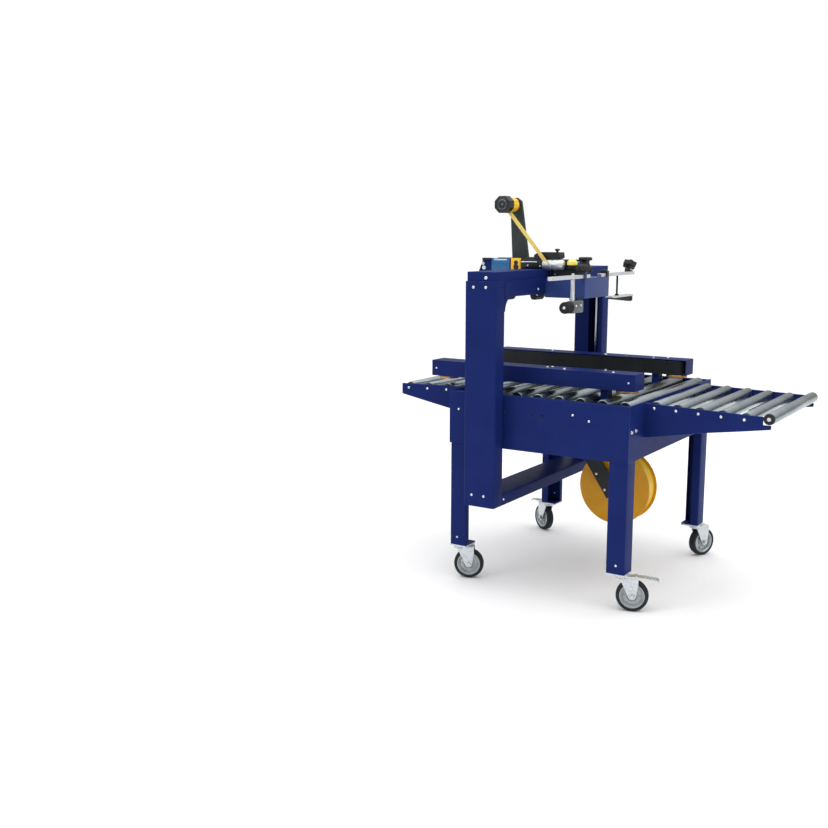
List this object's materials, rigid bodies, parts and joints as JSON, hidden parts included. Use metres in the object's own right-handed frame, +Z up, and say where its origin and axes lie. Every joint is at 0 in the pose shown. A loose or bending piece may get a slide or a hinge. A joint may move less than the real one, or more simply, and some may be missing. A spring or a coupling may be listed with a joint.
{
  "type": "carton sealer machine",
  "caption": "Side-belt carton sealer: roller bed on casters, height-set portal with upper tape head, lower tape head, sliding belt units.",
  "frame": {"origin": "on the floor, in the middle of the machine's box", "axes": "+X the way a carton travels, +Y towards the rear belt unit, +Z up"},
  "size_m": [1.282, 0.8628, 1.274],
  "materials": {
    "blue_paint": "semi-gloss powder coat",
    "head_paint": "semi-gloss powder coat",
    "black_paint": "satin black paint",
    "roller_steel": "zinc-plated tube, fine turned grain",
    "bright_rod": "ground and polished",
    "zinc_steel": "bright zinc plate",
    "wheel_tyre": "black rubber tyre on a grey hub",
    "belt_rubber": "matt grip rubber",
    "drum_metal": "turned",
    "tape_roll": "amber packing tape wound on a core",
    "drum_plastic": "yellow moulded drum with a black cap",
    "knob_plastic": "black moulded plastic",
    "arm_metal": "cast and tumbled, with a rubber roller",
    "aluminium_bar": "satin anodised",
    "bushing_plastic": "black acetal"
  },
  "bodies": {
    "frame": {"bed_side_plates": "blue_paint", "bed_end_panels": "blue_paint", "legs": "blue_paint", "wing_plates": "blue_paint", "roller_axles": "roller_steel", "caster_plates": "zinc_steel", "lower_head_frame": "black_paint", "guide_rods": "bright_rod", "lift_bushings": "bushing_plastic"},
    "portal": {"portal_columns": "blue_paint", "portal_lower_beam": "blue_paint", "portal_crossbeam": "blue_paint", "head_box": "blue_paint", "lift_rods": "bright_rod", "upper_head_frame": "head_paint", "tape_mast": "black_paint"},
    "bed_roller_1": {"bed_roller_1": "roller_steel"},
    "bed_roller_2": {"bed_roller_2": "roller_steel"},
    "bed_roller_3": {"bed_roller_3": "roller_steel"},
    "bed_roller_4": {"bed_roller_4": "roller_steel"},
    "split_roller_1": {"split_roller_1": "roller_steel"},
    "split_roller_2": {"split_roller_2": "roller_steel"},
    "split_roller_3": {"split_roller_3": "roller_steel"},
    "split_roller_4": {"split_roller_4": "roller_steel"},
    "outfeed_roller_1": {"outfeed_roller_1": "roller_steel"},
    "outfeed_roller_2": {"outfeed_roller_2": "roller_steel"},
    "outfeed_roller_3": {"outfeed_roller_3": "roller_steel"},
    "outfeed_roller_4": {"outfeed_roller_4": "roller_steel"},
    "outfeed_roller_5": {"outfeed_roller_5": "roller_steel"},
    "infeed_roller_1": {"infeed_roller_1": "roller_steel"},
    "infeed_roller_2": {"infeed_roller_2": "roller_steel"},
    "infeed_roller_3": {"infeed_roller_3": "roller_steel"},
    "tip_roller": {"tip_roller": "blue_paint"},
    "caster_front_left": {"caster_fork_front_left": "zinc_steel"},
    "wheel_front_left": {"caster_wheel_front_left": "wheel_tyre"},
    "caster_front_right": {"caster_fork_front_right": "zinc_steel"},
    "wheel_front_right": {"caster_wheel_front_right": "wheel_tyre"},
    "pedal_front_right": {"brake_pedal_front_right": "zinc_steel"},
    "caster_rear_left": {"caster_fork_rear_left": "zinc_steel"},
    "wheel_rear_left": {"caster_wheel_rear_left": "wheel_tyre"},
    "pedal_rear_left": {"brake_pedal_rear_left": "zinc_steel"},
    "caster_rear_right": {"caster_fork_rear_right": "zinc_steel"},
    "wheel_rear_right": {"caster_wheel_rear_right": "wheel_tyre"},
    "tape_drum": {"tape_drum": "drum_plastic"},
    "clamp_knob": {"clamp_knob": "knob_plastic"},
    "squeeze_front": {"squeeze_arm_front": "aluminium_bar"},
    "squeeze_rear": {"squeeze_arm_rear": "aluminium_bar"},
    "upper_apply": {"upper_apply_arm": "arm_metal"},
    "upper_wipe": {"upper_wipe_arm": "arm_metal"},
    "lower_apply": {"lower_apply_arm": "arm_metal"},
    "lower_wipe": {"lower_wipe_arm": "arm_metal"},
    "belt_unit_front": {"belt_housing_front": "blue_paint", "side_belt_front": "belt_rubber"},
    "drive_drum_front": {"drive_drum_front": "drum_metal"},
    "idler_drum_front": {"idler_drum_front": "drum_metal"},
    "belt_unit_rear": {"belt_housing_rear": "blue_paint", "side_belt_rear": "belt_rubber"},
    "drive_drum_rear": {"drive_drum_rear": "drum_metal"},
    "idler_drum_rear": {"idler_drum_rear": "drum_metal"},
    "tape_reel": {"tape_reel": "tape_roll"}
  },
  "joints": [
    {"name": "bed_roller_1_spin", "type": "hinge", "parent": "frame", "child": "bed_roller_1", "pos_m": [0.001, 0, 0.628], "axis": [0, 1, 0], "continuous": true},
    {"name": "bed_roller_2_spin", "type": "hinge", "parent": "frame", "child": "bed_roller_2", "pos_m": [0.074, 0, 0.628], "axis": [0, 1, 0], "continuous": true},
    {"name": "bed_roller_3_spin", "type": "hinge", "parent": "frame", "child": "bed_roller_3", "pos_m": [0.147, 0, 0.628], "axis": [0, 1, 0], "continuous": true},
    {"name": "bed_roller_4_spin", "type": "hinge", "parent": "frame", "child": "bed_roller_4", "pos_m": [0.22, 0, 0.628], "axis": [0, 1, 0], "continuous": true},
    {"name": "split_roller_1_spin", "type": "hinge", "parent": "frame", "child": "split_roller_1", "pos_m": [-0.291, 0, 0.628], "axis": [0, 1, 0], "continuous": true},
    {"name": "split_roller_2_spin", "type": "hinge", "parent": "frame", "child": "split_roller_2", "pos_m": [-0.218, 0, 0.628], "axis": [0, 1, 0], "continuous": true},
    {"name": "split_roller_3_spin", "type": "hinge", "parent": "frame", "child": "split_roller_3", "pos_m": [-0.145, 0, 0.628], "axis": [0, 1, 0], "continuous": true},
    {"name": "split_roller_4_spin", "type": "hinge", "parent": "frame", "child": "split_roller_4", "pos_m": [-0.072, 0, 0.628], "axis": [0, 1, 0], "continuous": true},
    {"name": "outfeed_roller_1_spin", "type": "hinge", "parent": "frame", "child": "outfeed_roller_1", "pos_m": [0.283, 0, 0.62498], "axis": [0, 1, 0], "continuous": true},
    {"name": "outfeed_roller_2_spin", "type": "hinge", "parent": "frame", "child": "outfeed_roller_2", "pos_m": [0.351, 0, 0.62273], "axis": [0, 1, 0], "continuous": true},
    {"name": "outfeed_roller_3_spin", "type": "hinge", "parent": "frame", "child": "outfeed_roller_3", "pos_m": [0.419, 0, 0.62049], "axis": [0, 1, 0], "continuous": true},
    {"name": "outfeed_roller_4_spin", "type": "hinge", "parent": "frame", "child": "outfeed_roller_4", "pos_m": [0.487, 0, 0.61825], "axis": [0, 1, 0], "continuous": true},
    {"name": "outfeed_roller_5_spin", "type": "hinge", "parent": "frame", "child": "outfeed_roller_5", "pos_m": [0.555, 0, 0.616], "axis": [0, 1, 0], "continuous": true},
    {"name": "infeed_roller_1_spin", "type": "hinge", "parent": "frame", "child": "infeed_roller_1", "pos_m": [-0.611, 0, 0.61811], "axis": [0, 1, 0], "continuous": true},
    {"name": "infeed_roller_2_spin", "type": "hinge", "parent": "frame", "child": "infeed_roller_2", "pos_m": [-0.534, 0, 0.62065], "axis": [0, 1, 0], "continuous": true},
    {"name": "infeed_roller_3_spin", "type": "hinge", "parent": "frame", "child": "infeed_roller_3", "pos_m": [-0.457, 0, 0.6232], "axis": [0, 1, 0], "continuous": true},
    {"name": "tip_roller_spin", "type": "hinge", "parent": "frame", "child": "tip_roller", "pos_m": [0.624, 0, 0.621], "axis": [0, 1, 0], "continuous": true},
    {"name": "caster_swivel_front_left", "type": "hinge", "parent": "frame", "child": "caster_front_left", "pos_m": [-0.351, -0.335, 0.115], "axis": [0, 0, 1], "continuous": true},
    {"name": "wheel_spin_front_left", "type": "hinge", "parent": "caster_front_left", "child": "wheel_front_left", "pos_m": [-0.32177, -0.32198, 0.05], "axis": [-0.4067, 0.9135, 0], "continuous": true},
    {"name": "caster_swivel_front_right", "type": "hinge", "parent": "frame", "child": "caster_front_right", "pos_m": [0.231, -0.335, 0.115], "axis": [0, 0, 1], "continuous": true},
    {"name": "wheel_spin_front_right", "type": "hinge", "parent": "caster_front_right", "child": "wheel_front_right", "pos_m": [0.26107, -0.32405, 0.05], "axis": [-0.342, 0.9397, 0], "continuous": true},
    {"name": "brake_press_front_right", "type": "hinge", "parent": "caster_front_right", "child": "pedal_front_right", "pos_m": [0.27047, -0.32064, 0.109], "axis": [-0.342, 0.9397, 0], "range_deg": [0, 8]},
    {"name": "caster_swivel_rear_left", "type": "hinge", "parent": "frame", "child": "caster_rear_left", "pos_m": [-0.351, 0.335, 0.115], "axis": [0, 0, 1], "continuous": true},
    {"name": "wheel_spin_rear_left", "type": "hinge", "parent": "caster_rear_left", "child": "wheel_rear_left", "pos_m": [-0.37843, 0.35148, 0.05], "axis": [-0.515, -0.8572, 0], "continuous": true},
    {"name": "brake_press_rear_left", "type": "hinge", "parent": "caster_rear_left", "child": "pedal_rear_left", "pos_m": [-0.387, 0.35663, 0.109], "axis": [-0.515, -0.8572, 0], "range_deg": [0, 8]},
    {"name": "caster_swivel_rear_right", "type": "hinge", "parent": "frame", "child": "caster_rear_right", "pos_m": [0.231, 0.335, 0.115], "axis": [0, 0, 1], "continuous": true},
    {"name": "wheel_spin_rear_right", "type": "hinge", "parent": "caster_rear_right", "child": "wheel_rear_right", "pos_m": [0.24602, 0.36325, 0.05], "axis": [-0.8829, 0.4695, 0], "continuous": true},
    {"name": "portal_lift", "type": "slide", "parent": "frame", "child": "portal", "axis": [0, 0, 1], "range_m": [-0.16, 0.13]},
    {"name": "tape_drum_spin", "type": "hinge", "parent": "portal", "child": "tape_drum", "pos_m": [-0.368, 0, 1.243], "axis": [0, 1, 0], "continuous": true},
    {"name": "clamp_knob_turn", "type": "hinge", "parent": "portal", "child": "clamp_knob", "pos_m": [-0.072, 0, 1.04], "axis": [0, 0, 1], "range_deg": [-180, 180]},
    {"name": "squeeze_slide_front", "type": "slide", "parent": "portal", "child": "squeeze_front", "axis": [0, 1, 0], "range_m": [-0.03, 0.03]},
    {"name": "squeeze_slide_rear", "type": "slide", "parent": "portal", "child": "squeeze_rear", "axis": [0, -1, 0], "range_m": [-0.03, 0.03]},
    {"name": "upper_apply_press", "type": "hinge", "parent": "portal", "child": "upper_apply", "pos_m": [-0.41, 0, 1.01], "axis": [0, -1, 0], "range_deg": [0, 35], "stiffness_Nm_per_rad": 6, "springref_deg": -28.65},
    {"name": "upper_wipe_press", "type": "hinge", "parent": "portal", "child": "upper_wipe", "pos_m": [-0.152, 0, 1.01], "axis": [0, -1, 0], "range_deg": [0, 35]},
    {"name": "lower_apply_press", "type": "hinge", "parent": "frame", "child": "lower_apply", "pos_m": [-0.305, 0, 0.56], "axis": [0, 1, 0], "range_deg": [0, 35], "stiffness_Nm_per_rad": 6, "springref_deg": -28.65},
    {"name": "lower_wipe_press", "type": "hinge", "parent": "frame", "child": "lower_wipe", "pos_m": [-0.135, 0, 0.56], "axis": [0, 1, 0], "range_deg": [0, 35]},
    {"name": "belt_unit_slide_front", "type": "slide", "parent": "frame", "child": "belt_unit_front", "axis": [0, 1, 0], "range_m": [-0.06, 0.11]},
    {"name": "drive_spin_front", "type": "hinge", "parent": "belt_unit_front", "child": "drive_drum_front", "pos_m": [0.18, -0.218, 0.694], "axis": [0, 0, 1], "continuous": true},
    {"name": "idler_spin_front", "type": "hinge", "parent": "belt_unit_front", "child": "idler_drum_front", "pos_m": [-0.468, -0.218, 0.694], "axis": [0, 0, 1], "continuous": true},
    {"name": "belt_unit_slide_rear", "type": "slide", "parent": "frame", "child": "belt_unit_rear", "axis": [0, -1, 0], "range_m": [-0.06, 0.11]},
    {"name": "drive_spin_rear", "type": "hinge", "parent": "belt_unit_rear", "child": "drive_drum_rear", "pos_m": [0.18, 0.218, 0.694], "axis": [0, 0, 1], "continuous": true},
    {"name": "idler_spin_rear", "type": "hinge", "parent": "belt_unit_rear", "child": "idler_drum_rear", "pos_m": [-0.468, 0.218, 0.694], "axis": [0, 0, 1], "continuous": true},
    {"name": "tape_reel_spin", "type": "hinge", "parent": "frame", "child": "tape_reel", "pos_m": [0.07, 0, 0.305], "axis": [0, 1, 0], "continuous": true}
  ],
  "couplings": [
    {"joint": "upper_wipe_press", "follows": "upper_apply_press", "ratio": 1},
    {"joint": "lower_wipe_press", "follows": "lower_apply_press", "ratio": 1},
    {"joint": "idler_spin_front", "follows": "drive_spin_front", "ratio": 1},
    {"joint": "idler_spin_rear", "follows": "drive_spin_rear", "ratio": 1},
    {"joint": "belt_unit_slide_rear", "follows": "belt_unit_slide_front", "ratio": 1}
  ]
}
